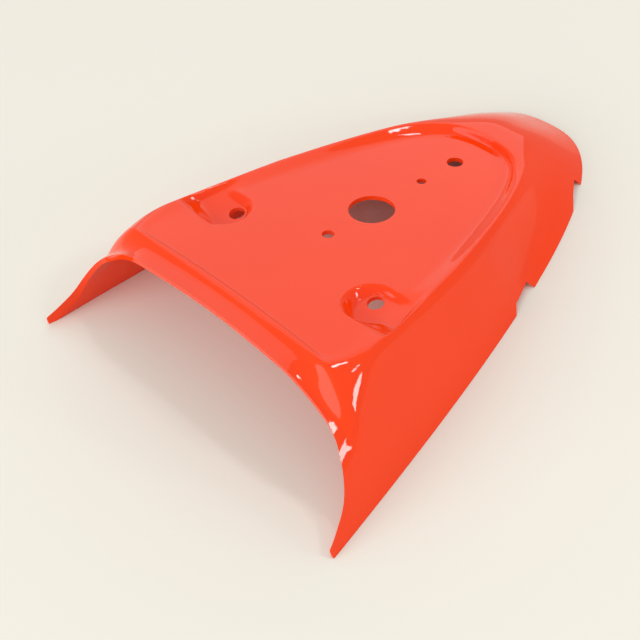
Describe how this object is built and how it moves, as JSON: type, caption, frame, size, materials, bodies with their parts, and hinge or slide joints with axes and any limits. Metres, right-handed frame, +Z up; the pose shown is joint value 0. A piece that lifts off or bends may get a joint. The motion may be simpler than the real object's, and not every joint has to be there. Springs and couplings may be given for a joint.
{
  "type": "seat cowl",
  "caption": "Open-fronted motorbike seat cowl in gloss red: a dished flat panel with mounting holes, an arched front lip with forward legs, flared sides and a domed tail.",
  "frame": {"origin": "on the floor under the middle of the part's length and width", "axes": "+X to the rider's right, +Y from the open front to the tail, +Z up"},
  "size_m": [0.2848, 0.345, 0.0709],
  "materials": {
    "red_paint": "gloss red paint"
  },
  "bodies": {
    "root": {"seat_cowl": "red_paint"}
  },
  "joints": []
}
